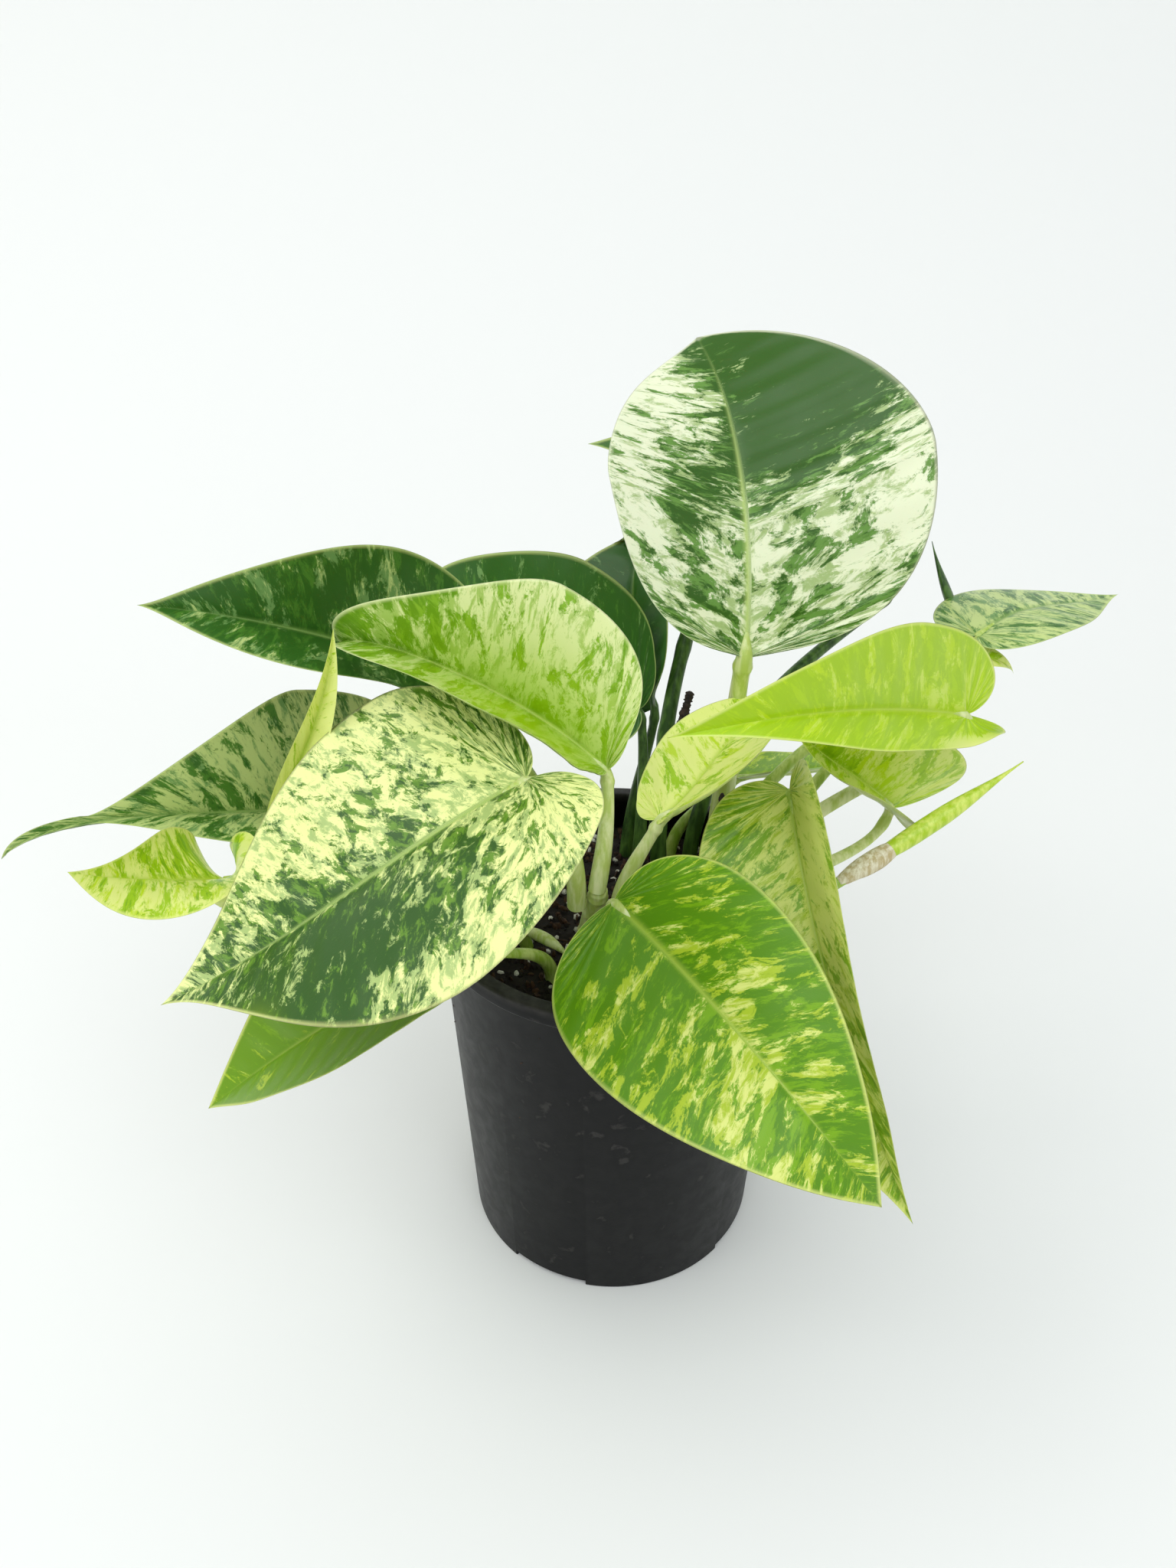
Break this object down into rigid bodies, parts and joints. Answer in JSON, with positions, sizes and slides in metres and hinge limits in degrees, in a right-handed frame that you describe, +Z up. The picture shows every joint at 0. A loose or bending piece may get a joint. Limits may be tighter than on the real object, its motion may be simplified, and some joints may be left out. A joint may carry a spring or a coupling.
{
  "type": "potted pothos plant",
  "caption": "Trailing house plant with marbled heart-shaped leaves on thin stalks, growing from potting mix in a black moulded nursery pot with a rolled rim.",
  "frame": {"origin": "middle of the pot's underside, on the pot's axis, at the level it stands on", "axes": "+Z up along the pot's axis, -Y towards the front side that the largest leaves hang over, +X to the right seen from the front"},
  "size_m": [0.3199, 0.1915, 0.267],
  "materials": {
    "pot": "matte",
    "soil": "matte",
    "roots": "matte",
    "stalks": "satin",
    "young_shoot": "satin",
    "leaf_cream": "satin",
    "leaf_lime": "satin",
    "leaf_green": "satin"
  },
  "bodies": {
    "root": {"leaf_back": "leaf_green", "leaf_back_left": "leaf_green", "leaf_behind_crown": "leaf_green", "leaf_centre_left": "leaf_lime", "leaf_centre_young": "leaf_lime", "leaf_crown": "leaf_cream", "leaf_front_left": "leaf_cream", "leaf_front_right": "leaf_green", "leaf_left_long": "leaf_green", "leaf_left_new": "leaf_lime", "leaf_left_small": "leaf_lime", "leaf_low_left": "leaf_green", "leaf_right_back": "leaf_green", "leaf_right_bright": "leaf_lime", "leaf_right_curled": "leaf_lime", "leaf_right_edge": "leaf_green", "leaf_right_folded": "leaf_green", "leaf_right_low": "leaf_lime", "leaf_right_small": "leaf_lime", "leaf_spear": "leaf_lime", "leaf_upper_left": "leaf_green", "pot": "pot", "root_back": "roots", "root_centre": "roots", "shoot_low": "young_shoot", "soil": "soil", "stalk_back": "stalks", "stalk_back_left": "stalks", "stalk_behind_crown": "stalks", "stalk_centre_left": "stalks", "stalk_centre_young": "stalks", "stalk_crown": "stalks", "stalk_front_left": "stalks", "stalk_front_right": "stalks", "stalk_left_long": "stalks", "stalk_left_new": "stalks", "stalk_left_small": "stalks", "stalk_low_left": "stalks", "stalk_right_back": "stalks", "stalk_right_bright": "stalks", "stalk_right_curled": "stalks", "stalk_right_folded": "stalks", "stalk_right_low": "stalks", "stalk_right_small": "stalks", "stalk_upper_left": "stalks", "vine_back": "stalks", "vine_front": "stalks"}
  },
  "joints": []
}
